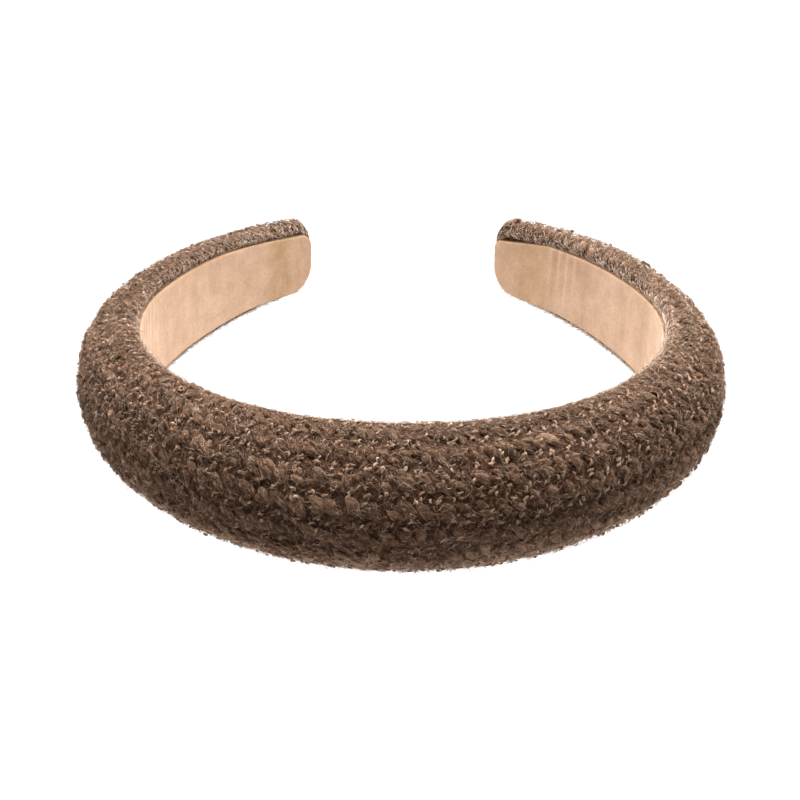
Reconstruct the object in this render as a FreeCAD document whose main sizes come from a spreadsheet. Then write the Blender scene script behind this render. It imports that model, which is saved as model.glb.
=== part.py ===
"""Padded headband: a domed foam pad inside a tweed cover, with a suede lining glued along its inner side.

The band lies on one edge. Its plan is six tangent arcs, three to each side of the crown, and every piece
is lofted tip to tip through the same stations. +Z is up, -Y is the crown and the two tips point to +Y.
"""
import FreeCAD, Part
import math
import os

import Sketcher

V = FreeCAD.Vector

# Plan of the band's widest line, from the crown to each tip
ARCS = (
    # name, radius, turn in degrees
    ("front", 64.1, 46.9),
    ("flank", 61.3, 63.5),
    ("tail", 100.9, 33.2),
)

# Cross-sections, from the crown to where the tip begins to round off
STATIONS = (
    # name, arc, share of the arc, height, depth outside the widest line, width of the lining
    ("crown", "front", 0.0, 32.6, 19.4, 28.1),
    ("upper", "front", 0.5, 32.0, 17.7, 27.5),
    ("temple", "front", 1.0, 30.6, 14.5, 26.1),
    ("side", "flank", 0.5, 28.6, 12.1, 24.1),
    ("ear", "flank", 1.0, 26.2, 10.9, 21.8),
    ("nape", "tail", 0.5, 23.4, 8.8, 19.4),
    ("tip", "tail", None, 19.8, 5.5, 16.5),
)

# Turns of the quarter circle that rounds off each tip, in degrees
TIP_TURNS = (30, 60, 80)

SINGLE_SIZES = (
    # name, value, meaning
    ("edge_roll", 2.2, "radius of the cover where it rolls round the band's edges to the inner side"),
    ("dome_power", 0.6, "fullness of the dome's shoulders, 1 is near an ellipse and 0 a rounded box"),
    ("tip_corner", 5.0, "radius of the tip's corners, seen from the inner side"),
    ("tip_edge", 2.2, "radius of the tip's outer edge"),
    ("cover_wall", 1.6, "thickness of the tweed"),
    ("hem", 6.5, "height of the cover's turned-in hems, under the lining"),
    ("soft_gap", 0.2, "room between the cover and the pad"),
    ("glue_line", 0.15, "room between the cover and the lining"),
    ("lining_wall", 0.6, "thickness of the suede"),
    ("lining_drop", 0.7, "how far the lining lies below the middle of the band's height"),
    ("lining_end", 0.4, "how far the lining stays from the ends of the band"),
    ("cut_past", 1.0, "how far a cutter passes the face that it opens"),
    ("rest_tilt", 2.17, "lean of the band that rests on its crown and both sides, in degrees"),
)


def write_sizes(doc):
    """Puts every driving size in the spreadsheet, with its name as the alias."""
    sheet = doc.addObject("Spreadsheet::Sheet", "sizes")
    rows = [(f"{name}_radius", radius, "radius of this arc") for name, radius, turn in ARCS]
    rows += [(f"{name}_turn", turn, "turn of this arc, in degrees") for name, radius, turn in ARCS]
    for name, arc, share, height, depth, lining in STATIONS:
        rows.append((f"{name}_height", height, "height of the band here"))
        rows.append((f"{name}_depth", depth, "depth of the dome here, outside the widest line"))
        rows.append((f"{name}_lining", lining, "width of the lining here"))
    rows += SINGLE_SIZES
    for line, (name, value, meaning) in enumerate(rows, start=1):
        sheet.set(f"A{line}", meaning)
        sheet.set(f"B{line}", str(value))
        sheet.setAlias(f"B{line}", name)
    doc.recompute()
    return sheet


def turn_before(arc):
    """The band's heading where this arc starts, as an expression."""
    names = [name for name, radius, turn in ARCS]
    return " + ".join(["0"] + [f"sizes.{name}_turn" for name in names[: names.index(arc)]])


def place_on_plan(arc, heading):
    """The point of the plan at this heading, as two expressions: across (X) and along (Y)."""
    names = [name for name, radius, turn in ARCS]
    across, along = [], ["sizes.front_radius"]
    for first, second in zip(names, names[1 : names.index(arc) + 1]):
        step = f"(sizes.{first}_radius - sizes.{second}_radius)"
        bend = f"(({turn_before(second)}) * 1 deg)"
        across.append(f"{step} * sin{bend}")
        along.append(f"-{step} * cos{bend}")
    across.append(f"sizes.{arc}_radius * sin(({heading}) * 1 deg)")
    along.append(f"-sizes.{arc}_radius * cos(({heading}) * 1 deg)")
    return " + ".join(across), " + ".join(along)


def band_stations(inset, rounded=True, from_tip=None):
    """The stations of one half, each as (arc, heading, half height, depth), all expressions.

    inset gives, for a station's name, how far the piece stays inside the outline of the band,
    and from_tip how far it stays from the ends, where that differs. The last stations follow
    the round of the tip, if rounded is set.
    """
    rows = []
    for name, arc, share, height, depth, lining in STATIONS[:-1]:
        heading = f"{turn_before(arc)} + {share} * sizes.{arc}_turn"
        rows.append((arc, heading, f"sizes.{name}_height / 2 - {inset(name)}",
                     f"sizes.{name}_depth - {inset(name)}"))
    within = inset("tip")
    short = from_tip or within
    whole_turn = " + ".join(f"sizes.{name}_turn" for name, radius, turn in ARCS)
    for turn in (0,) + (TIP_TURNS if rounded else ()):
        corner = f"(sizes.tip_corner - {short})" if rounded else "sizes.tip_corner"
        from_end = f"({short} + {corner} * (1 - sin({turn} deg)))" if rounded else corner
        heading = f"{whole_turn} - {from_end} / sizes.tail_radius * 180 / pi"
        loss = f"(1 - cos({turn} deg))"
        rows.append(("tail", heading,
                     f"sizes.tip_height / 2 - {within} - {corner} * {loss}",
                     f"sizes.tip_depth - {within} - max(0; sizes.tip_edge - {within}) * {loss}"))
    return rows


def new_sketch(body, name, arc, heading, side, drop):
    """An empty sketch across the band at this heading: its X points outward and its Y up.

    drop is how far its origin lies below the middle of the band's height.
    """
    sketch = body.newObject("Sketcher::SketchObject", name)
    upright = next(f for f in body.Origin.OriginFeatures if f.Role == "YZ_Plane")
    sketch.AttachmentSupport = [(upright, "")]
    sketch.MapMode = "FlatFace"
    sketch.AttachmentOffset = FreeCAD.Placement(V(0, 0, 0), FreeCAD.Rotation(V(0, 1, 0), 180))
    across, along = place_on_plan(arc, heading)
    sketch.setExpression(".AttachmentOffset.Base.x", along)
    sketch.setExpression(".AttachmentOffset.Base.y", f"-({drop})")
    sketch.setExpression(".AttachmentOffset.Base.z", f"{side} * ({across})")
    sketch.setExpression(".AttachmentOffset.Rotation.Angle", f"(180 + {side} * ({heading})) * 1 deg")
    return sketch


def add_size(sketch, name, constraint, expression):
    """Adds a dimension to the sketch and binds it to the spreadsheet."""
    index = sketch.addConstraint(constraint)
    sketch.renameConstraint(index, name)
    sketch.setExpression(f".Constraints.{name}", expression)


def value_of(doc, expression):
    """What an expression gives with the present sizes."""
    value = doc.sizes.evalExpression(expression)
    return float(getattr(value, "Value", value))


def draw_dome(sketch, half, depth, roll):
    """A flat inner side, two rolled edges, two shoulders and a crowned outer side, all tangent.

    The rolls and the shoulders have their centres on the sketch's own Y axis, the widest line.
    """
    doc = sketch.Document
    a, d, r = (value_of(doc, e) for e in (half, depth, roll))
    shoulder = f"({depth}) * (({depth}) / ({half}))^sizes.dome_power"
    s = value_of(doc, shoulder)
    lift = a - s
    crown = (d * d + lift * lift - s * s) / (2 * (d - s))
    middle = d - crown
    sense = math.copysign(1, crown - s)
    meet = math.atan2(sense * lift, -sense * middle)
    right = math.pi / 2

    def arc(x, y, radius, start, end):
        return Part.ArcOfCircle(Part.Circle(V(x, y, 0), V(0, 0, 1), radius), start, end)

    sketch.addGeometry([
        Part.LineSegment(V(-r, r - a, 0), V(-r, a - r, 0)),
        arc(0, a - r, r, right, 2 * right),
        arc(0, lift, s, meet, right),
        arc(middle, 0, crown, 0, meet),
        arc(middle, 0, crown, -meet, 0),
        arc(0, -lift, s, -right, -meet),
        arc(0, r - a, r, 2 * right, 3 * right),
    ], False)
    flat, roll_top, shoulder_top, dome_top, dome_low, shoulder_low, roll_low = range(7)
    start, end, centre = 1, 2, 3
    x_axis, y_axis, origin = -1, -2, -1
    sketch.addConstraint(Sketcher.Constraint("Tangent", flat, end, roll_top, end))
    chain = (roll_top, shoulder_top, dome_top, dome_low, shoulder_low, roll_low, flat)
    for first, second in zip(chain, chain[1:]):
        sketch.addConstraint(Sketcher.Constraint("Tangent", first, start, second,
                                                 start if second == flat else end))
    for top, low in ((roll_top, roll_low), (shoulder_top, shoulder_low), (dome_top, dome_low)):
        sketch.addConstraint(Sketcher.Constraint("Equal", top, low))
    for piece in (roll_top, shoulder_top, roll_low):
        sketch.addConstraint(Sketcher.Constraint("PointOnObject", piece, centre, y_axis))
    sketch.addConstraint(Sketcher.Constraint("PointOnObject", dome_top, start, x_axis))
    sketch.addConstraint(Sketcher.Constraint("Symmetric", shoulder_top, end, shoulder_low, start, x_axis))
    add_size(sketch, "roll", Sketcher.Constraint("Radius", roll_top, r), roll)
    add_size(sketch, "shoulder", Sketcher.Constraint("Radius", shoulder_top, s), shoulder)
    add_size(sketch, "half", Sketcher.Constraint("DistanceY", origin, start, shoulder_top, end, a), half)
    add_size(sketch, "depth", Sketcher.Constraint("DistanceX", origin, start, dome_top, start, d), depth)


def draw_strip(sketch, half, outer, inner):
    """A thin upright rectangle on the inner side, from outer to inner, measured in from the widest line.

    Its outer side is two lines that meet in the middle, so that a loft can't turn the strip over.
    """
    doc = sketch.Document
    a, near, far = (value_of(doc, e) for e in (half, outer, inner))
    corners = [V(-far, -a, 0), V(-far, a, 0), V(-near, a, 0), V(-near, 0, 0), V(-near, -a, 0)]
    sketch.addGeometry([Part.LineSegment(p, q) for p, q in zip(corners, corners[1:] + corners[:1])], False)
    far_side, top, near_top, near_low, bottom = range(5)
    start, end, origin, x_axis = 1, 2, -1, -1
    for first, second in zip(range(5), (1, 2, 3, 4, 0)):
        sketch.addConstraint(Sketcher.Constraint("Coincident", first, end, second, start))
    for line in (far_side, near_top, near_low):
        sketch.addConstraint(Sketcher.Constraint("Vertical", line))
    for line in (top, bottom):
        sketch.addConstraint(Sketcher.Constraint("Horizontal", line))
    sketch.addConstraint(Sketcher.Constraint("Equal", near_top, near_low))
    sketch.addConstraint(Sketcher.Constraint("PointOnObject", near_top, end, x_axis))
    add_size(sketch, "half", Sketcher.Constraint("DistanceY", origin, start, near_top, start, a), half)
    add_size(sketch, "outer", Sketcher.Constraint("DistanceX", near_top, start, origin, start, near), outer)
    add_size(sketch, "inner", Sketcher.Constraint("DistanceX", far_side, end, origin, start, far), inner)


def loft_round(body, kind, name, stations, draw, drop="0"):
    """Lofts from tip to tip through a sketch at each station and its mirror image past the crown."""
    left = [(-1, row) for row in reversed(stations[1:])]
    right = [(1, row) for row in stations]
    sketches = []
    for number, (side, (arc, heading, half, depth)) in enumerate(left + right):
        sketch = new_sketch(body, f"{name}_section_{number}", arc, heading, side, drop)
        draw(sketch, half, depth)
        sketches.append(sketch)
    body.Document.recompute()
    loft = body.newObject(kind, name)
    loft.Profile = sketches[0]
    loft.Sections = sketches[1:]
    loft.Ruled = False
    loft.Closed = False
    body.Document.recompute()
    return loft


def new_body(doc, name):
    body = doc.addObject("PartDesign::Body", name)
    body.Label = name
    return body


def make_foam_pad(doc):
    """The domed pad, which fills the cover but for the soft gap."""
    body = new_body(doc, "foam_pad")
    inset = "(sizes.cover_wall + sizes.soft_gap)"
    roll = f"sizes.edge_roll - {inset}"
    loft_round(body, "PartDesign::AdditiveLoft", "pad_form", band_stations(lambda name: inset),
               lambda sketch, half, depth: draw_dome(sketch, half, depth, roll))
    return body


def make_fabric_cover(doc):
    """The tweed: a closed outer form, its hollow, and the gap left between the two turned-in hems."""
    body = new_body(doc, "fabric_cover")
    wall = "sizes.cover_wall"
    loft_round(body, "PartDesign::AdditiveLoft", "cover_form", band_stations(lambda name: "0"),
               lambda sketch, half, depth: draw_dome(sketch, half, depth, "sizes.edge_roll"))
    loft_round(body, "PartDesign::SubtractiveLoft", "cover_hollow", band_stations(lambda name: wall),
               lambda sketch, half, depth: draw_dome(sketch, half, depth, f"sizes.edge_roll - {wall}"))
    past = f"sizes.edge_roll - {wall} - sizes.cut_past"
    loft_round(body, "PartDesign::SubtractiveLoft", "hem_gap", band_stations(lambda name: "sizes.hem", False),
               lambda sketch, half, depth: draw_strip(sketch, half, past, "sizes.edge_roll + sizes.cut_past"))
    return body


def make_lining(doc):
    """The suede strip, glued over the hems a little low, and cut round close to the tips."""
    body = new_body(doc, "lining")
    outer = "sizes.edge_roll + sizes.glue_line"
    loft_round(body, "PartDesign::AdditiveLoft", "lining_strip",
               band_stations(lambda name: f"(sizes.{name}_height - sizes.{name}_lining) / 2",
                             from_tip="sizes.lining_end"),
               lambda sketch, half, depth: draw_strip(sketch, half, outer, f"{outer} + sizes.lining_wall"),
               drop="sizes.lining_drop")
    return body


def rest_on_edge(doc, bodies):
    """Leans the band until it rests on its lower edge, and puts the origin under the middle of its box."""
    lean = FreeCAD.Placement(V(0, 0, 0), FreeCAD.Rotation(V(1, 0, 0), -value_of(doc, "sizes.rest_tilt")))
    leaning = Part.makeCompound([body.Shape.transformed(lean.toMatrix(), True) for body in bodies])
    box = leaning.optimalBoundingBox()
    move = FreeCAD.Placement(V(-box.Center.x, -box.Center.y, -box.ZMin), FreeCAD.Rotation())
    for body in bodies:
        body.Placement = move * lean
    doc.recompute()


def check_and_write(doc, bodies):
    """Stops on any failed object or empty shape, then writes one file for each piece."""
    failed = [o.Name for o in doc.Objects if {"Invalid", "Error"} & set(o.State)]
    if failed:
        raise RuntimeError(f"these objects failed: {failed}")
    for body in bodies:
        if body.Shape.isNull() or not body.Shape.isValid() or len(body.Shape.Solids) != 1:
            raise RuntimeError(f"{body.Label} isn't one valid solid")
    os.makedirs("parts", exist_ok=True)
    for body in bodies:
        body.Shape.exportStep(f"parts/{body.Label}.step")
        box = body.Shape.optimalBoundingBox()
        print(f"{body.Label}: {body.Shape.Volume / 1000:.2f} cm3, "
              f"{box.XLength:.1f} x {box.YLength:.1f} x {box.ZLength:.1f} mm, lowest {box.ZMin:.3f}")


def main():
    doc = FreeCAD.newDocument("padded_headband")
    write_sizes(doc)
    bodies = [make_fabric_cover(doc), make_foam_pad(doc), make_lining(doc)]
    rest_on_edge(doc, bodies)
    check_and_write(doc, bodies)


main()
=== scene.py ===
"""Padded headband: a wool tweed cover over foam, with a suede lining, lying on one edge.

Points of the band are given as (along, around, lift), in millimetres: along the band from the middle of
the crown, around its section from the middle of the outer side, and out from the surface.
"""
import math

import bpy
import numpy as np
from mathutils import Matrix, Vector


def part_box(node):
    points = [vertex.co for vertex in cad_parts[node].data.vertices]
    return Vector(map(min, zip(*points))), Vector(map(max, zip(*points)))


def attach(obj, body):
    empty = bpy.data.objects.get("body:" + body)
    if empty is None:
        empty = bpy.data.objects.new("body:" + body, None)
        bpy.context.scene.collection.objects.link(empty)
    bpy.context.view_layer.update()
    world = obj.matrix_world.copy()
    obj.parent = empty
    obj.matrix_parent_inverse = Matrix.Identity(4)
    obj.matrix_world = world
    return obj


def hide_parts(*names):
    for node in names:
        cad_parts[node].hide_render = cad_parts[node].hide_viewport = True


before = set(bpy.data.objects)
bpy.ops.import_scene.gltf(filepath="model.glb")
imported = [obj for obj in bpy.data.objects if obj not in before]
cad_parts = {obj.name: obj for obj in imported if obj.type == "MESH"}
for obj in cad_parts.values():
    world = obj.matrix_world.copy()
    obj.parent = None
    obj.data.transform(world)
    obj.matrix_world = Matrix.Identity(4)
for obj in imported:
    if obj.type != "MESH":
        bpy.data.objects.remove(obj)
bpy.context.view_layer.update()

MM = 0.001

# The form, as in the part's own source
ARCS = (
    # name, radius, turn in degrees
    ("front", 64.1, 46.9),
    ("flank", 61.3, 63.5),
    ("tail", 100.9, 33.2),
)
SECTIONS = (
    # name, arc, share of the arc, height, depth, width of the lining
    ("crown", "front", 0.0, 32.6, 19.4, 28.1),
    ("upper", "front", 0.5, 32.0, 17.7, 27.5),
    ("temple", "front", 1.0, 30.6, 14.5, 26.1),
    ("side", "flank", 0.5, 28.6, 12.1, 24.1),
    ("ear", "flank", 1.0, 26.2, 10.9, 21.8),
    ("nape", "tail", 0.5, 23.4, 8.8, 19.4),
    ("tip", "tail", 1.0, 19.8, 5.5, 16.5),
)
EDGE_ROLL = 2.2
DOME_POWER = 0.6
TIP_CORNER = 5.0
TIP_EDGE = 2.2
LINING_FAR = 2.95
LINING_DROP = 0.7
LINING_END = 0.4
REST_TILT = math.radians(2.17)

# The camera, fitted to the photograph, in millimetres and degrees
CAMERA_TARGET = (1.96, 69.9, 0.0)
CAMERA_DISTANCE = 645.4
CAMERA_ELEVATION = 25.1
CAMERA_AZIMUTH = -0.17
CAMERA_ROLL = 0.8
FOCAL_PIXELS = 2731.5
CENTRE_OFFSET = (9.96, -47.62)
PHOTO_PIXELS = 800
SENSOR = 36.0

# The weave, in millimetres
ROW_PITCH = 6.3
ROW_PHASE = -1.3
TUFT_PITCH = 3.1
TUFT_SLANT = math.radians(-50)
TUFT_SINK = -0.95
STRAND_SLANT = math.radians(55)
# How near the long edges the added fuzz lies, and how wide the low rim is that has no crumbs
EDGE_BAND, LOW_RIM = 11.0, 8.0
# How far the cover shows past the roll of its top edge, and how much of the low roll is hidden
TOP_SHOWN, LOW_HIDDEN = 0.95, 0.3
# How much prouder the cover is on the upper side of the right tip, where that starts, and over what length
TIP_SWELL, SWELL_START, SWELL_LENGTH = 0.9, 122.0, 18
# How near the floor any strand may come
FLOOR_ROOM = 0.12


def smooth_through(x, xs, ys):
    """A smooth curve through the points, level at the first one."""
    slopes = np.gradient(ys, xs)
    slopes[0] = 0
    i = np.clip(np.searchsorted(xs, x, side="right") - 1, 0, len(xs) - 2)
    step = xs[i + 1] - xs[i]
    t = np.clip((x - xs[i]) / step, 0, 1)
    rise = ys[i] * (1 + 2 * t) * (1 - t) ** 2 + ys[i + 1] * t * t * (3 - 2 * t)
    return rise + step * (slopes[i] * t * (1 - t) ** 2 + slopes[i + 1] * t * t * (t - 1))


ARC_NAMES = [row[0] for row in ARCS]
ARC_LENGTHS = np.array([row[1] * math.radians(row[2]) for row in ARCS])
ARC_STARTS = np.concatenate([[0], np.cumsum(ARC_LENGTHS)])
HALF_LENGTH = ARC_STARTS[-1]


def section_place(row):
    """How far along the band this row's section is."""
    arc = ARC_NAMES.index(row[1])
    return ARC_STARTS[arc] + row[2] * ARC_LENGTHS[arc]


SECTION_AT = np.array([section_place(row) for row in SECTIONS])
# The last section's sizes are reached where the round of the tip starts
SECTION_AT[-1] -= TIP_CORNER
HEIGHTS, DEPTHS, LININGS = (np.array([row[column] for row in SECTIONS]) for column in (3, 4, 5))


def band_sizes(along):
    """The band's half height and depth here, with the round of its tips."""
    away = np.abs(along)
    short = np.clip(1 - (HALF_LENGTH - away) / TIP_CORNER, 0, 1)
    loss = 1 - np.sqrt(1 - short**2)
    half = smooth_through(away, SECTION_AT, HEIGHTS) / 2 - TIP_CORNER * loss
    return half, smooth_through(away, SECTION_AT, DEPTHS) - TIP_EDGE * loss


def widest_line(along):
    """Place of the plan here and the outward direction, each as (across, along Y)."""
    away, side = np.abs(along), np.where(along < 0, -1.0, 1.0)
    first_heading, centre = 0.0, np.array([0.0, ARCS[0][1]])
    x, y, heading = (np.zeros_like(away) for _ in range(3))
    for (_, radius, turn), start, following in zip(ARCS, ARC_STARTS, ARCS[1:] + (None,)):
        here = first_heading + (away - start) / radius
        on = away >= start
        heading = np.where(on, here, heading)
        x = np.where(on, centre[0] + radius * np.sin(here), x)
        y = np.where(on, centre[1] - radius * np.cos(here), y)
        first_heading += math.radians(turn)
        if following:
            outward = np.array([math.sin(first_heading), -math.cos(first_heading)])
            centre = centre + (radius - following[1]) * outward
    return side * x, y, side * np.sin(heading), -np.cos(heading)


def outline_parts(half, depth):
    """The radii, centres and lengths of the arcs of a section, from the middle of its outer side."""
    shoulder = depth * (depth / half) ** DOME_POWER
    lift = half - shoulder
    gap = np.where(np.abs(depth - shoulder) < 1e-4, 1e-4, depth - shoulder)
    crown = (depth**2 + lift**2 - shoulder**2) / (2 * gap)
    middle = depth - crown
    sense = np.where(crown < shoulder, -1.0, 1.0)
    meet = np.arctan2(sense * lift, -sense * middle)
    first = crown * meet
    second = first + shoulder * (math.pi / 2 - meet)
    third = second + EDGE_ROLL * math.pi / 2
    return shoulder, lift, crown, middle, meet, first, second, third


def outline(around, half, depth):
    """Out and up of the section's outline, and of its normal, at a distance around it."""
    shoulder, lift, crown, middle, meet, first, second, third = outline_parts(half, depth)
    v, up = np.abs(around), np.where(around < 0, -1.0, 1.0)
    flat = v - third
    angle = np.where(v < first, v / crown, meet + (v - first) / shoulder)
    angle = np.where(v < second, angle, math.pi / 2 + (v - second) / EDGE_ROLL)
    angle = np.where(flat < 0, angle, math.pi)
    radius = np.where(v < first, crown, np.where(v < second, shoulder, EDGE_ROLL))
    out0 = np.where(v < first, middle, 0.0)
    up0 = np.where(v < first, 0.0, np.where(v < second, lift, half - EDGE_ROLL))
    out = out0 + radius * np.cos(angle)
    rise = up0 + radius * np.sin(angle) - np.maximum(flat, 0)
    return out, up * rise, np.cos(angle), up * np.sin(angle)


def on_plan(along, around, lift):
    """Points of the band before it is laid down."""
    half, depth = band_sizes(along)
    out, rise, normal_out, normal_up = outline(around, half, depth)
    x, y, out_x, out_y = widest_line(along)
    reach = out + lift * normal_out
    return np.stack([x + out_x * reach, y + out_y * reach, rise + lift * normal_up], -1)


def lean(vectors):
    """Turns vectors with the band, which rests on its crown and both sides."""
    x, y, z = np.moveaxis(vectors, -1, 0)
    cos, sin = math.cos(REST_TILT), math.sin(REST_TILT)
    return np.stack([x, y * cos + z * sin, z * cos - y * sin], -1)


def rest_shift():
    """The move that puts the leaning band where the frame has its cover."""
    places = np.linspace(-1, 1, 721) * HALF_LENGTH
    along, around = np.meshgrid(places, np.linspace(-40, 40, 321), indexing="ij")
    half, depth = band_sizes(along)
    end = outline_parts(half, depth)[-1]
    points = lean(on_plan(along, np.clip(around, -end, end), 0.0)).reshape(-1, 3)
    low, high = (np.array(corner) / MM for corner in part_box("fabric_cover"))
    middle = (low + high) / 2 - (points.min(0) + points.max(0)) / 2
    return np.array([middle[0], middle[1], low[2] - points[:, 2].min()])


SHIFT = rest_shift()


def swell(along, around):
    """How much prouder the cover stands here: it is plumper on the upper side of the right tip."""
    half, depth = band_sizes(along)
    upper = np.clip(around / 5, 0, 1) * np.clip((outline_parts(half, depth)[-1] - around) / 3, 0, 1)
    return TIP_SWELL * np.clip((along - SWELL_START) / SWELL_LENGTH, 0, 1) * upper


def on_band(along, around, lift):
    """Points of the band as it lies, in millimetres."""
    return lean(on_plan(along, around, lift + swell(along, around))) + SHIFT


def above_floor(points):
    """The same points, with none nearer the floor than a strand may come."""
    return np.concatenate([points[..., :2], np.maximum(points[..., 2:], FLOOR_ROOM)], -1)


def cover_reach(along, around):
    """How far around the section the cover shows on this side, before the lining hides it."""
    half, depth = band_sizes(along)
    return outline_parts(half, depth)[-1] + np.where(around > 0, TOP_SHOWN, -LOW_HIDDEN)


def ripple(x, y, seed, length):
    """A smooth wander between about -1 and 1, of about this wavelength."""
    rng = np.random.default_rng(seed)
    total = 0.0
    for _ in range(4):
        turn = rng.uniform(0, 2 * math.pi)
        phase = rng.uniform(0, 2 * math.pi)
        stretch = rng.uniform(0.6, 1.5)
        ahead = x * math.cos(turn) + y * math.sin(turn)
        total = total + np.sin(ahead * 2 * math.pi * stretch / length + phase)
    return total / 2.6


def new_mesh(name, points, faces, material, shades=None, bake=None, streaks=None):
    """A piece from points in millimetres and arrays of faces, one array for each number of corners."""
    mesh = bpy.data.meshes.new(name)
    mesh.vertices.add(len(points))
    mesh.vertices.foreach_set("co", (points * MM).astype(np.float32).ravel())
    corners = np.concatenate([group.ravel() for group in faces])
    counts = np.concatenate([np.full(len(group), group.shape[1]) for group in faces])
    mesh.loops.add(len(corners))
    mesh.loops.foreach_set("vertex_index", corners.astype(np.int32))
    mesh.polygons.add(len(counts))
    mesh.polygons.foreach_set("loop_start", (np.cumsum(counts) - counts).astype(np.int32))
    mesh.polygons.foreach_set("loop_total", counts.astype(np.int32))
    mesh.polygons.foreach_set("use_smooth", np.ones(len(counts), bool))
    mesh.update(calc_edges=True)
    if shades is not None:
        shade = mesh.attributes.new("shade", "FLOAT", "POINT")
        shade.data.foreach_set("value", shades.astype(np.float32).ravel())
    for layer, places in (("OFBake", bake), ("streaks", streaks)):
        if places is not None:
            uv_map = mesh.uv_layers.new(name=layer, do_init=False)
            uv_map.uv.foreach_set("vector", places.astype(np.float32).ravel())
    mesh.materials.append(material)
    piece = bpy.data.objects.new(name, mesh)
    bpy.context.scene.collection.objects.link(piece)
    return piece


def ring_faces(rows, columns):
    """Quads between neighbouring rows of points, where each row of points is a ring."""
    row, column = np.meshgrid(np.arange(rows - 1), np.arange(columns), indexing="ij")
    after = (column + 1) % columns
    return np.stack([row * columns + column, row * columns + after,
                     (row + 1) * columns + after, (row + 1) * columns + column], -1).reshape(-1, 4)


def many_rings(count, rings, sides):
    """Faces of count closed strands, each of some rings of points, with flat ends."""
    one = ring_faces(rings, sides)
    ends = np.stack([np.arange(sides)[::-1], (rings - 1) * sides + np.arange(sides)])
    offset = (np.arange(count) * rings * sides)[:, None, None]
    return (one + offset).reshape(-1, 4), (ends + offset).reshape(-1, sides)


def strand_maps(count, rings, sides, rng):
    """Two maps of such strands: one square each for the bake, and one with its fibres along the strand."""
    across = math.ceil(math.sqrt(count))
    cell = np.stack([np.arange(count) % across, np.arange(count) // across], -1)[:, None, None]
    ring, side = np.meshgrid(np.arange(rings - 1), np.arange(sides), indexing="ij")
    corners = [np.stack([ring + up, side + on], -1) for up, on in ((0, 0), (0, 1), (1, 1), (1, 0))]
    places = np.stack(corners, -2).reshape(-1, 4, 2) / (rings - 1, sides)
    turn = np.arange(sides) * 2 * math.pi / sides
    caps = 0.5 + 0.35 * np.stack([np.cos(turn), np.sin(turn)], -1)
    # In its square, a strand's sides take the left part, and its two flat ends lie in the right part
    room, gap, cap_room = 0.78, 0.06, (0.12, 0.35)
    side_places = gap + places * (room, 1 - 2 * gap)
    cap_places = np.stack([corner + caps * cap_room for corner in ((0.87, 0.1), (0.87, 0.55))])
    own = rng.uniform(0, 50, (count, 1, 1, 2))
    bake = [(cell + side_places) / across, (cell + cap_places) / across]
    streaks = [own + places * (2.0, 1.0), own + np.zeros((1, 2, sides, 2))]
    return tuple(np.concatenate([part.reshape(-1, 2) for part in parts]) for parts in (bake, streaks))


def linear(share):
    """The light of a screen colour's share, from 0 to 1."""
    return ((share + 0.055) / 1.055) ** 2.4 if share > 0.04 else share / 12.92


def colour(red, green, blue):
    """A colour given by the screen's 0 to 255 numbers, made linear."""
    return tuple(linear(value / 255) for value in (red, green, blue)) + (1,)


def new_material(name, roughness, sheen=0.0, sheen_tint=(1, 1, 1, 1)):
    """A dull material. Returns it, its tree of nodes and its shader."""
    material = bpy.data.materials.new(name)
    material.use_nodes = True
    shader = material.node_tree.nodes["Principled BSDF"]
    shader.inputs["Roughness"].default_value = roughness
    shader.inputs["Specular IOR Level"].default_value = 0.12
    shader.inputs["Sheen Weight"].default_value = sheen
    shader.inputs["Sheen Roughness"].default_value = 0.5
    shader.inputs["Sheen Tint"].default_value = sheen_tint
    return material, material.node_tree, shader


def add_node(tree, kind, **settings):
    """A node of this kind, with settings for its inputs or for the node itself."""
    node = tree.nodes.new(kind)
    for name, value in settings.items():
        if name in node.inputs:
            node.inputs[name].default_value = value
        else:
            setattr(node, name, value)
    return node


def add_ramp(tree, source, stops):
    """A colour ramp over source, with stops of (place, colour)."""
    ramp = add_node(tree, "ShaderNodeValToRGB")
    elements = ramp.color_ramp.elements
    while len(elements) < len(stops):
        elements.new(0.5)
    for element, (place, value) in zip(elements, stops):
        element.position, element.color = place, value
    tree.links.new(source, ramp.inputs["Fac"])
    return ramp.outputs["Color"]


def add_mix(tree, factor, first, second, blend="MIX"):
    """Mixes two colours. Each of them is an output or a colour, and the factor an output or a number."""
    mix = add_node(tree, "ShaderNodeMix", data_type="RGBA", blend_type=blend)
    # The colour sockets share their names with the node's other sockets, so all go by place
    for socket, source in ((mix.inputs[0], factor), (mix.inputs[6], first), (mix.inputs[7], second)):
        if isinstance(source, (int, float, tuple)):
            socket.default_value = source
        else:
            tree.links.new(source, socket)
    return mix.outputs[2]


def add_noise(tree, places, scale, detail=2.0, roughness=0.5, stretch=None):
    """Noise over these places, which may first be stretched by a scale for each direction."""
    if stretch:
        mapping = add_node(tree, "ShaderNodeMapping", Scale=stretch)
        tree.links.new(places, mapping.inputs["Vector"])
        places = mapping.outputs[0]
    noise = add_node(tree, "ShaderNodeTexNoise", Scale=scale, Detail=detail, Roughness=roughness)
    tree.links.new(places, noise.inputs["Vector"])
    return noise.outputs["Fac"]


def add_bump(tree, shader, height, strength, distance):
    """Raises the shaded surface by this output, up to this distance in metres."""
    bump = add_node(tree, "ShaderNodeBump", Strength=strength, Distance=distance)
    tree.links.new(height, bump.inputs["Height"])
    tree.links.new(bump.outputs[0], shader.inputs["Normal"])


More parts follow.
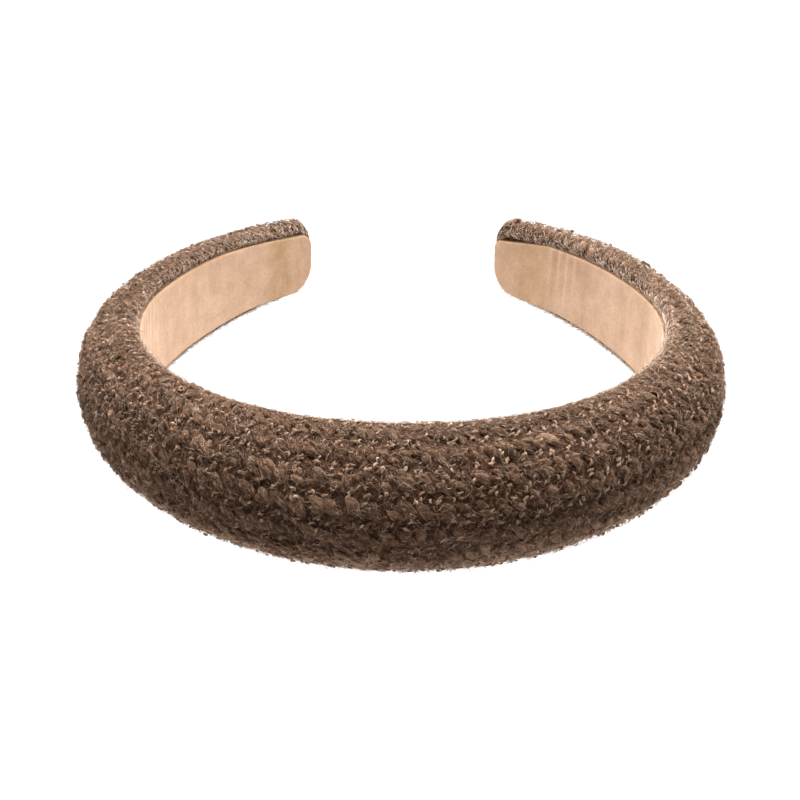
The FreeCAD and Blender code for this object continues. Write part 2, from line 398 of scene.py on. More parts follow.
DARK_WOOL = ((0.0, colour(41, 25, 17)), (0.3, colour(106, 80, 62)), (0.55, colour(162, 132, 110)),
             (0.8, colour(208, 179, 156)), (1.0, colour(240, 218, 200)))
PALE_WOOL = ((0.0, colour(92, 71, 56)), (0.35, colour(168, 142, 121)), (0.6, colour(212, 188, 167)),
             (0.8, colour(236, 216, 198)), (1.0, colour(250, 239, 228)))
# The base's matted wool, darkened partly as painted shade for the gaps between the yarns
MATTED_WOOL_AND_GAP_SHADE = ((0.3, colour(32, 19, 12)), (0.5, colour(68, 47, 34)), (0.68, colour(114, 86, 67)))
WOOL_SHEEN = colour(230, 190, 162)
# The slow drift of hue over the cover, and how much of it is taken
WOOL_DRIFT = ((0.35, colour(255, 238, 228)), (0.5, colour(252, 246, 242)), (0.66, colour(246, 242, 234)))
DRIFT_SHARE = 0.8
# How much a strand's shade varies from fibre to fibre
FIBRE_CONTRAST = 0.66


def wool_material(name, stops, streaky=True):
    """Wool whose colour is the strand's own shade. Streaky wool has fibres too, and a slow drift of hue."""
    material, tree, shader = new_material(name, 0.95, 0.35, WOOL_SHEEN)
    shade = add_node(tree, "ShaderNodeAttribute", attribute_name="shade").outputs["Fac"]
    if not streaky:
        tree.links.new(add_ramp(tree, shade, stops), shader.inputs["Base Color"])
        return material
    places = add_node(tree, "ShaderNodeTexCoord").outputs["Object"]
    along = add_node(tree, "ShaderNodeUVMap", uv_map="streaks").outputs["UV"]
    fibres = add_noise(tree, along, 3.0, 3.0, 0.6, stretch=(0.8, 6.0, 1.0))
    spread = add_node(tree, "ShaderNodeMath", operation="MULTIPLY_ADD")
    tree.links.new(fibres, spread.inputs[0])
    spread.inputs[1].default_value = FIBRE_CONTRAST
    spread.inputs[2].default_value = -FIBRE_CONTRAST / 2
    total = add_node(tree, "ShaderNodeMath", operation="ADD")
    tree.links.new(spread.outputs[0], total.inputs[0])
    tree.links.new(shade, total.inputs[1])
    base = add_ramp(tree, total.outputs[0], stops)
    drift = add_ramp(tree, add_noise(tree, places, 110.0), WOOL_DRIFT)
    tree.links.new(add_mix(tree, DRIFT_SHARE, base, drift, "MULTIPLY"), shader.inputs["Base Color"])
    add_bump(tree, shader, fibres, 0.6, 0.0003)
    return material


# The base of the cover: matted wool that shows between the yarns, its dark colour partly painted shade for
# the gaps between them
BASE_STEP, BASE_ROUND = 1.4, 76
BASE_SINK, HEM_SINK = 1.05, 0.2
# How much less deep the base lies at the tips, and how far from them that starts
TIP_RAISE, RAISE_LENGTH = 0.35, 50
# How wide its flush edge is, and over what width it sinks from there
FLUSH_EDGE, SINK_WIDTH = 3.0, 4
# How rough it is, over what length, and how round its two ends are
BASE_ROUGH, ROUGH_LENGTH, CAP_ROUND = 0.18, 2.6, 0.9


def base_material():
    """Matted wool with a fine grain, dark partly as painted shade for the gaps between the yarns."""
    material, tree, shader = new_material("matted_wool_gap_shade", 1.0, 0.1, colour(200, 170, 150))
    places = add_node(tree, "ShaderNodeTexCoord").outputs["Object"]
    fine = add_noise(tree, places, 900.0, 4.0, 0.65)
    tree.links.new(add_ramp(tree, fine, MATTED_WOOL_AND_GAP_SHADE), shader.inputs["Base Color"])
    add_bump(tree, shader, fine, 0.8, 0.0006)
    return material


def base_stations():
    """Where along the band the base's rings are: evenly, and closer through the round of each tip."""
    corner = HALF_LENGTH - TIP_CORNER * (1 - np.sin(np.radians(np.arange(10, 90, 10))))
    cap = HALF_LENGTH - CAP_ROUND * (1 - np.sin(np.radians(np.arange(30, 91, 12))))
    middle = np.linspace(-corner[0], corner[0], int(2 * HALF_LENGTH / BASE_STEP))
    tail = np.unique(np.concatenate([corner[1:], cap]))
    return np.concatenate([-tail[::-1], middle, tail])


def make_base():
    """The closed form under the yarns, sunk on the outer side and nearly flush under the lining."""
    stations = base_stations()
    short = np.clip(1 - (HALF_LENGTH - np.abs(stations)) / CAP_ROUND, 0, 1)
    inset = CAP_ROUND * (1 - np.sqrt(1 - short**2))
    half, depth = band_sizes(stations)
    whole = outline_parts(half, depth)[-1] + half - EDGE_ROLL
    share = np.linspace(-1, 1, BASE_ROUND + 1)[:-1]
    around = share[None, :] * whole[:, None]
    along = np.repeat(stations[:, None], BASE_ROUND, 1)
    outer = np.clip((cover_reach(along, around) - np.abs(around) - FLUSH_EDGE) / SINK_WIDTH, 0, 1)
    deep = BASE_SINK - TIP_RAISE * np.clip(1 - (HALF_LENGTH - np.abs(along)) / RAISE_LENGTH, 0, 1)
    rough = BASE_ROUGH * ripple(along, around, 3, ROUGH_LENGTH)
    sink = HEM_SINK + (deep - HEM_SINK) * outer + rough * outer
    rings = on_band(along, around, -(sink + inset[:, None]))
    points = np.concatenate([rings.reshape(-1, 3), [rings[0].mean(0), rings[-1].mean(0)]])
    rows = len(stations)
    column = np.arange(BASE_ROUND)
    after = (column + 1) % BASE_ROUND
    last = (rows - 1) * BASE_ROUND
    centre = rows * BASE_ROUND
    fans = [np.stack([np.full(BASE_ROUND, centre), after, column], -1),
            np.stack([np.full(BASE_ROUND, centre + 1), last + column, last + after], -1)]
    faces = [ring_faces(rows, BASE_ROUND), np.concatenate(fans)]
    piece = new_mesh("tweed_cover", points, faces, base_material())
    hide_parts("fabric_cover", "foam_pad")
    return piece


# Where the yarns lie: no part of the cover that shows is farther around than this
WIDEST_AROUND = 34
# How far a row wanders, and over what length
ROW_WANDER, WANDER_LENGTH = 0.45, 42
# How near the ends of the band a row may reach
END_MARGIN = 1.3
# The size of the yarns at the edges and tips, and how far from them the yarns are full
LEAST_SIZE, THIN_EDGE, THIN_TIP = 0.8, 5, 9
# How much paler the wool is painted along both edges and on the low side, as painted light for its lit rims
# and for light from the floor, how much paler it is at the tips, and how wide those edges are
LOW_EDGE_PAINTED_LIGHT, TOP_EDGE_PAINTED_LIGHT, LOW_SIDE_PAINTED_LIGHT, TIP_PALENESS = 0.4, 0.42, 0.34, 0.03
PALE_EDGE = 7


def row_lines():
    """How far around each thick row lies."""
    count = int(WIDEST_AROUND / ROW_PITCH)
    return ROW_PHASE + ROW_PITCH * np.arange(-count, count + 1)


def paired(lines, apart):
    """Two lines for each of these, this far to either side of it."""
    return np.stack([lines - apart, lines + apart], -1).ravel()


def on_rows(lines, margin, rng):
    """Places along each line at about the tufts' pitch, where the cover shows. Gives along, around."""
    found = []
    for line in lines:
        places = np.arange(-HALF_LENGTH + rng.uniform(0, TUFT_PITCH), HALF_LENGTH, TUFT_PITCH)
        places = places + rng.normal(0, 0.09 * TUFT_PITCH, len(places))
        wander = ROW_WANDER * ripple(places, line * 3.1, 11, WANDER_LENGTH)
        around = line + wander + rng.normal(0, 0.12, len(places))
        inside = np.abs(around) < cover_reach(places, around) - margin
        shown = inside & (np.abs(places) < HALF_LENGTH - END_MARGIN)
        found.append(np.stack([places[shown], around[shown]], -1))
    return np.concatenate(found).T


def anywhere(count, rng):
    """Random places on the part of the cover that shows."""
    along = rng.uniform(-HALF_LENGTH, HALF_LENGTH, 3 * count)
    around = rng.uniform(-WIDEST_AROUND, WIDEST_AROUND, 3 * count)
    inside = (np.abs(around) < cover_reach(along, around)) & (np.abs(along) < HALF_LENGTH - 0.4)
    shown = np.flatnonzero(inside)[:count]
    return along[shown], around[shown]


def near_edges(count, rng):
    """Random places near the long edges of the cover, two of three of them at the low edge."""
    along = rng.uniform(-HALF_LENGTH + 0.4, HALF_LENGTH - 0.4, count)
    side = rng.choice((-1, -1, 1), count)
    inward = EDGE_BAND * rng.random(count) ** np.where(side > 0, 1.6, 0.8)
    return along, side * (cover_reach(along, side) - inward)


def thinner(along, around):
    """How much smaller the yarns are here: full on the dome, pressed flat at the edges and tips."""
    edge = np.clip((cover_reach(along, around) - np.abs(around)) / THIN_EDGE, 0, 1)
    tip = np.clip((HALF_LENGTH - np.abs(along)) / THIN_TIP, 0, 1)
    return LEAST_SIZE + (1 - LEAST_SIZE) * np.minimum(edge, tip) ** 0.7


def painted_light_by_place(along, around):
    """How much paler the wool is here: painted light along its lit edges, painted light from the floor on its
    low side, and a little paler towards the tips.
    """
    reach = cover_reach(along, around)
    edge = np.clip((np.abs(around) - reach + PALE_EDGE) / PALE_EDGE, 0, 1)
    upper = np.clip(around / reach, -1, 1)
    low = np.clip((-0.1 - upper) / 0.35, 0, 1)
    tip = np.clip((np.abs(along) - 35) / 90, 0, 1)
    # Painted light: the rims are paler where they catch the light, and the low side is paler where the
    # floor's light falls
    painted_edge_light = np.where(around < 0, LOW_EDGE_PAINTED_LIGHT, TOP_EDGE_PAINTED_LIGHT) * edge**1.5
    return painted_edge_light + LOW_SIDE_PAINTED_LIGHT * low + TIP_PALENESS * tip


def relief(along, around):
    """How high the yarns stand here, between the sunk thin rows and the thick ones."""
    row = 0.5 + 0.5 * np.cos(2 * math.pi * (around - ROW_PHASE) / ROW_PITCH)
    return thinner(along, around) * (-0.75 + 0.8 * row)


def from_centre(along, around, angle, run, across):
    """Places this far along and across a line at this angle through each centre. Gives along, around."""
    spread = (slice(None),) + (None,) * (run.ndim - 1)
    cos, sin = np.cos(angle)[spread], np.sin(angle)[spread]
    return along[spread] + run * cos - across * sin, around[spread] + run * sin + across * cos


# The thick tufts: how far each line of them is from the middle of its row, and half their length and width
TUFT_APART, TUFT_LENGTH, TUFT_WIDTH = 0.78, 1.65, 0.95
TUFT_RINGS, TUFT_SIDES = 6, 6
# How flat a tuft is, how far its ends droop, and how blunt they are
TUFT_FLAT, TUFT_DROOP, TUFT_BLUNT = 0.88, 0.3, 2.4
TUFT_SHADE, TUFT_DARKEST, TUFT_PALEST = 0.185, 0.05, 0.56


def plumpness(step):
    """The share of its full width that a tuft has here, with steps of 1 from its middle to its ends."""
    return np.sqrt(np.clip(1 - np.abs(step) ** TUFT_BLUNT, 0, 1))


def make_tufts(rng):
    """The thick slanted tufts, as closed plump forms. Returns the piece and what the fuzz needs of them."""
    along, around = on_rows(paired(row_lines(), TUFT_APART), 0.3, rng)
    count = len(along)
    size = thinner(along, around) * np.clip(rng.normal(0.95, 0.15, count), 0.6, 1.25)
    slant = TUFT_SLANT + rng.normal(0, 0.28, count)
    length = TUFT_LENGTH * size * rng.normal(1, 0.14, count)
    width = TUFT_WIDTH * size
    shade = TUFT_SHADE + 0.07 * rng.standard_normal(count) + 0.08 * ripple(along, around, 21, 30)
    # Painted light: the tufts are paler along the lit edges and on the low side
    shade = np.clip(shade + painted_light_by_place(along, around), TUFT_DARKEST, TUFT_PALEST)
    step = np.linspace(-1, 1, TUFT_RINGS)[None, :, None]
    turn = np.arange(TUFT_SIDES) * 2 * math.pi / TUFT_SIDES
    rough = 1 + 0.12 * rng.standard_normal((count, TUFT_RINGS, TUFT_SIDES))
    radius = width[:, None, None] * plumpness(0.985 * step) * rough
    lie = TUFT_SINK * size + rng.normal(0, 0.15, count)
    place = from_centre(along, around, slant, length[:, None, None] * step, radius * np.cos(turn))
    lift = lie[:, None, None] - TUFT_DROOP * step**2 + TUFT_FLAT * radius * np.sin(turn)
    points = above_floor(on_band(*place, lift))
    bake, streaks = strand_maps(count, TUFT_RINGS, TUFT_SIDES, rng)
    # Painted light: each tuft is a little paler on its outward side, as if lit on its top
    shades = np.repeat(shade, TUFT_RINGS * TUFT_SIDES) + 0.03 * np.tile(np.sin(turn), count * TUFT_RINGS)
    faces = many_rings(count, TUFT_RINGS, TUFT_SIDES)
    material = wool_material("brown_tuft_wool", DARK_WOOL)
    piece = new_mesh("thick_tufts", points.reshape(-1, 3), faces, material, shades, bake, streaks)
    return piece, (along, around, slant, length, width, shade, lie)


def unit(vectors):
    """The same directions, all of length 1."""
    return vectors / np.maximum(np.linalg.norm(vectors, axis=-1, keepdims=True), 1e-9)


def rings_along(path, sides):
    """The points of strands given as (along, around, lift), and a ring of radius 1 across each point."""
    along, around, lift = path
    points = on_band(along, around, lift)
    ahead = unit(np.gradient(points, axis=1))
    level = unit(np.cross(ahead, on_band(along, around, lift + 1) - points))
    upright = np.cross(level, ahead)
    turn = np.arange(sides) * 2 * math.pi / sides
    return points, np.cos(turn)[:, None] * level[:, :, None] + np.sin(turn)[:, None] * upright[:, :, None]


# The crumbs: how far along its cluster one may lie, its length, and how it tapers to its ends
CLUSTER_REACH, CRUMB_LENGTH, CRUMB_TAPER = 1.15, (0.8, 1.5), 2.7
CRUMB_RINGS = 4
# The share of the crumbs that are bright, and how much brighter they are
BRIGHT_SHARE, BRIGHT_MORE = 0.02, 0.24


def crumb_places(lines, each, slant, spread, most, rng):
    """Places in slanted clusters along these lines, and some anywhere. Gives along, around."""
    along, around = (np.repeat(centre, each) for centre in on_rows(lines, 0.4, rng))
    run = rng.uniform(-CLUSTER_REACH, CLUSTER_REACH, len(along))
    along = along + run * math.cos(slant) + rng.normal(0, spread, len(along))
    around = around + run * math.sin(slant) + rng.normal(0, spread, len(along))
    more = anywhere(max(most - len(along), 0), rng)
    along = np.concatenate([along, more[0]])[:most]
    around = np.concatenate([around, more[1]])[:most]
    reach = cover_reach(along, around)
    inside = (around > LOW_RIM - reach) & (around < reach - 0.2) & (np.abs(along) < HALF_LENGTH - 0.6)
    return along[inside], around[inside]


def make_crumbs(name, lines, stops, rng, *, each, slant, spread, most, rise_by, thickness, sides, brightness):
    """Short tight knots of yarn, in slanted clusters along these lines and anywhere, at most so many."""
    along, around = crumb_places(lines, each, slant, spread, most, rng)
    count = len(along)
    size = thinner(along, around)
    length = rng.uniform(*CRUMB_LENGTH, count) * (0.4 + 0.6 * size)
    turning = rng.uniform(0.5, 2.6, count) * rng.choice((-1, 1), count)
    tilt = rng.uniform(0.1, 1.1, count)
    angle = slant + rng.normal(0, 0.6, count)
    step = np.linspace(-0.5, 0.5, CRUMB_RINGS)[None]
    bow = (length / turning)[:, None]
    run = bow * np.sin(turning[:, None] * step)
    rise = np.abs(bow) * (1 - np.cos(turning[:, None] * step))
    place = from_centre(along, around, angle, run, np.sign(bow) * rise * np.cos(tilt)[:, None])
    arch = rise * np.sin(tilt)[:, None]
    height = relief(along, around) + rise_by * size + 0.3 * rng.random(count) * size
    lift = height[:, None] - arch + 0.3 * arch.max(1, keepdims=True)
    radii = (rng.uniform(*thickness, count) * (0.5 + 0.5 * size))[:, None] * (1 - CRUMB_TAPER * step**2)
    bright = rng.random(count) < BRIGHT_SHARE
    # Painted light: crumbs are paler towards the top edge, where light from above falls, and paler along the
    # lit edges and the low side
    shades = brightness + 0.15 * np.clip(around / 15, -0.3, 1) + 0.11 * rng.standard_normal(count)
    shades = shades + 0.06 * ripple(along, around, 31, 26) + 0.5 * painted_light_by_place(along, around)
    shades = np.clip(shades + BRIGHT_MORE * bright, 0.03, 1)
    centres, ring = rings_along((*place, lift), sides)
    points = above_floor(centres[:, :, None] + radii[:, :, None, None] * ring)
    bake, streaks = strand_maps(count, CRUMB_RINGS, sides, rng)
    faces = many_rings(count, CRUMB_RINGS, sides)
    shades = np.repeat(shades, CRUMB_RINGS * sides)
    material = wool_material(name + "_wool", stops)
    return new_mesh(name, points.reshape(-1, 3), faces, material, shades, bake, streaks)


# How a hair thins towards its tip, and the size of its patch on the bake's map
HAIR_TAPER, HAIR_PATCH = 0.25, (0.006, 0.02)


def make_hairs(name, path, width, shades, material, rng):
    """Fine closed hairs, three-sided and drawn to a point, along paths of two or more points."""
    count, steps = path[0].shape
    centres, ring = rings_along(path, 3)
    taper = width[:, None] * np.linspace(1, HAIR_TAPER, steps)[None, :-1]
    rings = centres[:, :-1, None] + taper[:, :, None, None] * ring[:, :-1]
    points = above_floor(np.concatenate([rings.reshape(count, -1, 3), centres[:, -1:]], 1))
    tip = 3 * (steps - 1)
    first = tip - 3
    offset = (np.arange(count) * (tip + 1))[:, None, None]
    point_faces = [[first + side, first + (side + 1) % 3, tip] for side in range(3)]
    triangles = np.array([[2, 1, 0]] + point_faces)
    faces = [(triangles + offset).reshape(-1, 3)]
    square = np.array([[0, 0], [1, 0], [1, 1], [0, 1]])
    corners = [np.tile(square[[0, 1, 3]], (count * len(triangles), 1)).reshape(count, -1, 2)]
    if steps > 2:
        quads = ring_faces(steps - 1, 3)
        faces.append((quads + offset).reshape(-1, 4))
        corners.append(np.tile(square, (count * len(quads), 1)).reshape(count, -1, 2))
    # Hairs of like shade share a place on the bake's map
    patch = np.stack([0.02 + 0.95 * shades, rng.uniform(0.02, 0.96, count)], -1)[:, None]
    bake = np.concatenate([(patch + corner * HAIR_PATCH).reshape(-1, 2) for corner in corners])
    return new_mesh(name, points.reshape(-1, 3), faces, material, np.repeat(shades, tip + 1), bake)


def lying_hairs(along, around, height, angle, length, lift, curl, steps):
    """Paths of hairs that start at these points and run at this angle, bowed sideways and rising."""
    step = np.linspace(0, 1, steps)[None]
    bow = np.sin(math.pi * step)
    place = from_centre(along, around, angle, length[:, None] * step, curl[:, None] * bow)
    return (*place, height[:, None] + lift[:, None] * step**1.5 + 0.12 * bow)


def make_tuft_fuzz(name, tufts, count, steps, reach, rng):
    """Fibres brushed along the thick tufts, close to them, and loose at their far ends."""
    length, width = tufts[3:5]
    chosen = rng.choice(len(length), count, p=length * width / (length * width).sum())
    along, around, slant, length, width, shade, lie = (values[chosen] for values in tufts)
    start = rng.uniform(-1.05, 0.75, count)
    hair = rng.uniform(*reach, count)
    way = np.where(rng.random(count) < 0.25, -1.0, 1.0)
    share = np.linspace(0, 1, steps)[None]
    step = way[:, None] * (start[:, None] + (hair / length)[:, None] * share)
    turn = (rng.uniform(0.02, 0.98, count) * math.pi)[:, None] + rng.normal(0, 0.35, count)[:, None] * share
    radius = width[:, None] * plumpness(0.93 * np.clip(np.abs(step), 0, 1))
    place = from_centre(along, around, slant, length[:, None] * step, radius * np.cos(turn))
    rise = rng.gamma(1.3, 0.26, count)
    lift = lie[:, None] - TUFT_DROOP * np.minimum(step**2, 1.4) + TUFT_FLAT * radius * np.sin(turn)
    lift = lift + 0.05 + rise[:, None] * share**1.5
    # These fibres take the tuft's shade, painted light included
    shades = np.clip(shade + rng.normal(0.09, 0.18, count), 0, 1)
    return make_hairs(name, (*place, lift), rng.uniform(0.05, 0.085, count), shades,
                      wool_material(name + "_wool", DARK_WOOL, False), rng)


def make_loose_fuzz(count, rng):
    """Pale straight fibres all over the cover, which stand out at its outline."""
    along, around = anywhere(count, rng)
    count = len(along)
    size = thinner(along, around)
    height = relief(along, around) + 0.1 + rng.normal(0, 0.15, count)
    angle = rng.uniform(0, 2 * math.pi, count)
    length = rng.uniform(0.5, 1.7, count)
    lift = rng.gamma(1.5, 0.42, count) * (0.4 + 0.6 * size)
    # Painted light: these fibres are paler along the lit edges and on the low side
    shades = np.clip(0.2 + 0.19 * rng.standard_normal(count) + 1.1 * painted_light_by_place(along, around), 0, 1)
    path = lying_hairs(along, around, height, angle, length, lift, np.zeros(count), 2)
    return make_hairs("loose_fuzz", path, rng.uniform(0.04, 0.06, count), shades,
                      wool_material("loose_fibre", PALE_WOOL, False), rng)


def make_edge_fuzz(count, rng):
    """Fibres brushed over the two long edges, which cover the yarn there and make its pale soft rim, whose
    paleness is partly painted light.
    """
    along, around = near_edges(count, rng)
    size = thinner(along, around)
    inward = cover_reach(along, around) - np.abs(around)
    near = np.clip(1 - inward / EDGE_BAND, 0, 1) ** 0.5
    height = relief(along, around) * (1 - near) + rng.uniform(-0.15, 0.15, count)
    angle = TUFT_SLANT * np.where(around > 0, 1, 1.2) + rng.normal(0, 0.55, count)
    # Painted light: these fibres are paler along the lit edges and on the low side
    shades = np.clip(0.14 + 0.18 * rng.standard_normal(count) + 1.3 * painted_light_by_place(along, around), 0, 1)
    lift = rng.gamma(1.4, 0.14, count) * size * np.where(around > 0, 1.6, 4.0)
    length = rng.uniform(0.8, 2.0, count)
    path = lying_hairs(along, around, height, angle, length, lift, np.zeros(count), 2)
    return make_hairs("edge_fuzz", path, rng.uniform(0.035, 0.06, count), shades,
                      wool_material("edge_fibre", PALE_WOOL, False), rng)


def make_stray_hairs(count, rng):
    """A few long hairs that have come out of the yarn and curl away from the band."""
    places = zip(anywhere(count // 2, rng), near_edges(count // 2, rng))
    along, around = (np.concatenate(pair) for pair in places)
    count = len(along)
    angle = rng.uniform(0, 2 * math.pi, count)
    shades = np.clip(0.2 + 0.15 * rng.standard_normal(count), 0, 1)
    length = rng.uniform(1.2, 4.0, count)
    lift = rng.gamma(1.8, 0.5, count)
    curl = rng.normal(0, 0.8, count)
    path = lying_hairs(along, around, relief(along, around), angle, length, lift, curl, 5)
    return make_hairs("stray_hairs", path, rng.uniform(0.035, 0.06, count), shades,
                      wool_material("stray_fibre", PALE_WOOL, False), rng)


# The lining
LINING_STEP, LINING_ACROSS = 0.55, 20
LINING_NEAR = 1.9
LEFT_CORNER, RIGHT_CORNER, LOW_CORNER = 3.2, 1.6, 6.5
# How much higher the low edge lies, up to where, and over what length that fades
LOW_TRIM, TRIM_END, TRIM_FADE = 0.85, 171.0, 14.0
# How much lower the top edge ends at each tip, and over what length
TOP_TRIMS = (
    # side, drop, length
    (-1, 1.2, 30.0),
    (1, 2.3, 18.0),
)
# Over what width the rim rounds down, how far, and how wide the painted shadow along its edge is, where the
# wool above would shade it
RIM_WIDTH, RIM_TUCK, PAINTED_SHADOW_EDGE = 0.5, 0.45, 0.35
# Where the wrinkles and the creases are, over what reach, and how high they stand
WRINKLES_AT, WRINKLES_REACH, WRINKLE_HEIGHT = -96.0, 16.0, 0.13
CREASES_AT, CREASES_REACH, CREASE_HEIGHT = 156.0, 6.0, 0.22
WAVE_HEIGHT = 0.09
OLIVE_PATCHES = (
    # along, reach
    (-169.0, 4.5),
    (166.0, 5.0),
)
SUEDE = ((0.3, colour(216, 181, 153)), (0.5, colour(226, 191, 163)), (0.72, colour(232, 198, 171)))
OLIVE = colour(208, 173, 134)
WHITE = colour(255, 255, 255)


def suede_material():
    """Tan suede: a fine nap and upright streaks.

    The piece's own shade gives olive patches up to 0.5, and above that a painted shadow along the rim, where
    the wool would shade it.
    """
    material, tree, shader = new_material("tan_suede", 0.9, 0.3, colour(240, 215, 195))
    places = add_node(tree, "ShaderNodeTexCoord").outputs["Object"]
    shade = add_node(tree, "ShaderNodeAttribute", attribute_name="shade").outputs["Fac"]
    olive = add_ramp(tree, shade, ((0.0, (0, 0, 0, 1)), (0.5, (1, 1, 1, 1))))
    # Painted shadow: the lining darkens along its rim, where the wool above would shade it
    painted_shadow = add_ramp(tree, shade, ((0.5, (1, 1, 1, 1)), (1.0, colour(110, 90, 75))))
    streak = add_noise(tree, places, 60.0, 3.0, 0.55, stretch=(3.0, 3.0, 0.5))
    nap = add_noise(tree, places, 1800.0, 2.0)
    cloud = add_noise(tree, places, 190.0, 4.0, 0.6)
    mottle = add_ramp(tree, cloud, ((0.35, colour(236, 232, 228)), (0.65, WHITE)))
    patched = add_mix(tree, olive, add_ramp(tree, streak, SUEDE), OLIVE)
    grain = add_ramp(tree, nap, ((0.3, colour(238, 236, 234)), (0.7, WHITE)))
    shadowed = add_mix(tree, 1.0, patched, painted_shadow, "MULTIPLY")
    grained = add_mix(tree, 1.0, shadowed, grain, "MULTIPLY")
    tree.links.new(add_mix(tree, 1.0, grained, mottle, "MULTIPLY"), shader.inputs["Base Color"])
    add_bump(tree, shader, nap, 0.25, 0.0002)
    return material


def near_place(along, place, reach):
    """1 at this place along the band, and less with the distance from it."""
    return np.exp(-((along - place) / reach) ** 2)


def rounded_half(away, corner, end):
    """Half of the lining's width this far from its middle, with corners of this radius at its end."""
    short = np.clip(1 - (end - away) / corner, 0, 1)
    return smooth_through(away, SECTION_AT, LININGS) / 2 - corner * (1 - np.sqrt(1 - short**2))


def lining_half(along, share, end):
    """How far the lining reaches below and above its middle line, with its corners and trims."""
    away = np.abs(along)
    low = rounded_half(away, LOW_CORNER, end) - LOW_TRIM * np.clip((TRIM_END - away) / TRIM_FADE, 0, 1)
    top_corner = np.where(along < 0, LEFT_CORNER, RIGHT_CORNER)
    trims = [drop * np.clip(1 - (end - side * along) / length, 0, 1) for side, drop, length in TOP_TRIMS]
    top = rounded_half(away, top_corner, end) - sum(trims)
    return np.where(share < 0, low[:, None], top[:, None])


def lining_waves(along, rise):
    """Fine wrinkles where the suede bends most on the left, creases near the right tip, and slow waves."""
    wrinkles = WRINKLE_HEIGHT * near_place(along, WRINKLES_AT, WRINKLES_REACH)
    wrinkles = wrinkles * np.sin(along * 2.4 + 1.3 * ripple(along, rise, 51, 18))
    tip = near_place(along, CREASES_AT, CREASES_REACH) * np.clip(0.6 + rise / 12, 0.1, 1)
    creases = CREASE_HEIGHT * tip * np.sin(along * 2.1 + 0.06 * rise + 0.8 * ripple(along, rise, 52, 20))
    return wrinkles + creases + WAVE_HEIGHT * ripple(along, 0.3 * rise, 53, 24)


def lining_shades(along, rise, inward):
    """The shade that suede_material reads: olive patches, and a painted shadow along the rim, where the wool
    above would shade it.
    """
    olive = sum(near_place(along, place, reach) for place, reach in OLIVE_PATCHES)
    olive = np.clip(olive * (0.75 + 0.25 * ripple(along, rise, 54, 7)), 0, 0.9)
    # Painted shadow along the rim, where the wool above would shade it
    edge = np.clip(1 - inward / PAINTED_SHADOW_EDGE, 0, 1)
    return np.where(edge > 0, 0.5 + 0.5 * edge, 0.5 * olive)


def lining_sheet(along, rise, depth):
    """Points this far in from the band's widest line, as the band lies."""
    x, y, out_x, out_y = widest_line(along)
    return lean(np.stack([x - out_x * depth, y - out_y * depth, rise - LINING_DROP], -1)) + SHIFT


def make_lining():
    """The suede strip, closed at the back and ends, with its wrinkles."""
    end = HALF_LENGTH - LINING_END
    tail = end - LOW_CORNER * (1 - np.sin(np.radians(np.arange(0, 91, 7.5))))
    middle = np.arange(-tail[0] + LINING_STEP, tail[0], LINING_STEP)
    stations = np.concatenate([-tail[::-1], middle, tail])
    share = np.sin(np.linspace(-1, 1, LINING_ACROSS) * math.pi / 2)
    half = lining_half(stations, share, end)
    rise = share * half
    along = np.repeat(stations[:, None], LINING_ACROSS, 1)
    inward = half - np.abs(rise)
    rim = np.clip(inward / RIM_WIDTH, 0, 1)
    tuck = RIM_TUCK * (1 - np.sqrt(1 - (1 - rim) ** 2))
    face = LINING_FAR - tuck + lining_waves(along, rise) * rim
    back = np.full_like(face, LINING_NEAR)
    points = np.concatenate([lining_sheet(along, rise, face), lining_sheet(along, rise, back)[:, ::-1]], 1)
    rows, columns = len(stations), 2 * LINING_ACROSS
    ends = np.stack([np.arange(columns)[::-1], (rows - 1) * columns + np.arange(columns)])
    shades = lining_shades(along, rise, inward)
    shades = np.concatenate([shades, shades[:, ::-1]], 1)
    faces = [ring_faces(rows, columns), ends]
    piece = new_mesh("suede_lining", points.reshape(-1, 3), faces, suede_material(), shades)
    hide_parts("lining")
    return piece


# The studio, in metres and watts
FLOOR_HALF = 3.0
# The floor glows only a little past white, so that fine hairs still show against it
FLOOR_TONE, FLOOR_GLOW = 0.03, 1.38
WORLD_GLOW = 0.04
LIGHTS = (
    # name, place, aim, size, power
    ("back_top_light", (0.0, 0.39, 0.87), (0, 0, 0), 0.9, 40.0),
    ("left_light", (-0.9, 0.0, 0.4), (0, 0, 0.02), 0.6, 1.5),
    ("right_light", (0.9, 0.0, 0.4), (0, 0, 0.02), 0.6, 2.6),
)


def make_floor():
    """The glowing floor, which is staging and no part of the object."""
    mesh = bpy.data.meshes.new("floor")
    corners = [(x * FLOOR_HALF, y * FLOOR_HALF, 0) for x, y in ((-1, -1), (1, -1), (1, 1), (-1, 1))]
    mesh.from_pydata(corners, [], [(0, 1, 2, 3)])
    material, _, shader = new_material("pale_floor", 0.9)
    shader.inputs["Base Color"].default_value = (FLOOR_TONE, FLOOR_TONE, FLOOR_TONE, 1)
    shader.inputs["Emission Color"].default_value = (1, 1, 1, 1)
    shader.inputs["Emission Strength"].default_value = FLOOR_GLOW
    mesh.materials.append(material)
    floor = bpy.data.objects.new("floor", mesh)
    bpy.context.scene.collection.objects.link(floor)


def make_lights():
    """The dim surroundings and the square lights, each turned to its aim."""
    world = bpy.data.worlds.new("studio")
    world.use_nodes = True
    background = world.node_tree.nodes["Background"]
    background.inputs["Color"].default_value = (1, 1, 1, 1)
    background.inputs["Strength"].default_value = WORLD_GLOW
    bpy.context.scene.world = world
    for name, place, aim, size, power in LIGHTS:
        light = bpy.data.lights.new(name, "AREA")
        light.shape = "SQUARE"
        light.size = size
        light.energy = power
        holder = bpy.data.objects.new(name, light)
        holder.location = place
        holder.rotation_euler = (Vector(aim) - Vector(place)).to_track_quat("-Z", "Y").to_euler()
        bpy.context.scene.collection.objects.link(holder)


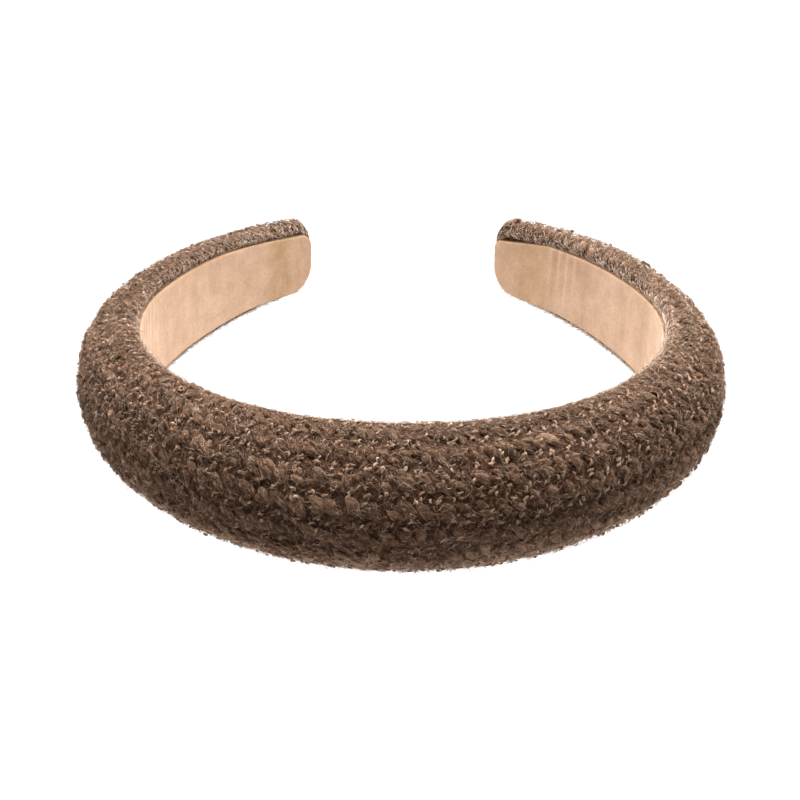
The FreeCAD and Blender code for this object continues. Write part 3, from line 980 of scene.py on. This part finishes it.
def make_camera():
    """The photograph's view: its eye point, with the optical axis turned so that no shift is needed."""
    rise, side, roll = (math.radians(angle) for angle in (CAMERA_ELEVATION, CAMERA_AZIMUTH, CAMERA_ROLL))
    back = np.array([math.sin(side) * math.cos(rise), -math.cos(side) * math.cos(rise), math.sin(rise)])
    level = np.cross(-back, (0, 0, 1))
    level /= np.linalg.norm(level)
    upright = np.cross(level, -back)
    right = math.cos(roll) * level + math.sin(roll) * upright
    up = math.cos(roll) * upright - math.sin(roll) * level
    ahead = -back - right * CENTRE_OFFSET[0] / FOCAL_PIXELS + up * CENTRE_OFFSET[1] / FOCAL_PIXELS
    ahead /= np.linalg.norm(ahead)
    right -= ahead * (right @ ahead)
    right /= np.linalg.norm(right)
    up = np.cross(right, ahead)
    eye = lean(np.array(CAMERA_TARGET) + back * CAMERA_DISTANCE) + SHIFT
    lens = bpy.data.cameras.new("camera")
    lens.sensor_width = SENSOR
    lens.lens = FOCAL_PIXELS / PHOTO_PIXELS * SENSOR
    lens.clip_start = 0.01
    holder = bpy.data.objects.new("camera", lens)
    bpy.context.scene.collection.objects.link(holder)
    axes = np.stack([lean(right), lean(up), lean(-ahead)], 1)
    holder.matrix_world = Matrix.Translation(eye * MM) @ Matrix(axes.tolist()).to_4x4()
    bpy.context.scene.camera = holder


make_camera()
make_floor()
make_lights()
bpy.context.scene.view_settings.view_transform = "Standard"

cover = make_base()
tufts, tuft_places = make_tufts(np.random.default_rng(1))
between = row_lines() + ROW_PITCH / 2
pale_crumbs = make_crumbs("pale_crumbs", between, PALE_WOOL, np.random.default_rng(2), each=4,
                          slant=STRAND_SLANT, spread=0.25, most=4600, rise_by=0.1,
                          thickness=(0.2, 0.34), sides=4, brightness=0.14)
brown_crumbs = make_crumbs("brown_crumbs", row_lines(), DARK_WOOL, np.random.default_rng(3), each=2,
                           slant=TUFT_SLANT, spread=0.9, most=1400, rise_by=-0.1,
                           thickness=(0.14, 0.24), sides=3, brightness=0.3)
long_fibres = make_tuft_fuzz("long_fibres", tuft_places, 15000, 3, (1.5, 3.0), np.random.default_rng(4))
short_fibres = make_tuft_fuzz("short_fibres", tuft_places, 36000, 2, (0.7, 1.4), np.random.default_rng(7))
loose_fuzz = make_loose_fuzz(26000, np.random.default_rng(5))
edge_fuzz = make_edge_fuzz(32000, np.random.default_rng(8))
stray_hairs = make_stray_hairs(4000, np.random.default_rng(6))
lining = make_lining()

pieces = (cover, tufts, pale_crumbs, brown_crumbs, long_fibres, short_fibres, loose_fuzz, edge_fuzz,
          stray_hairs, lining)
for piece in pieces:
    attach(piece, "root")
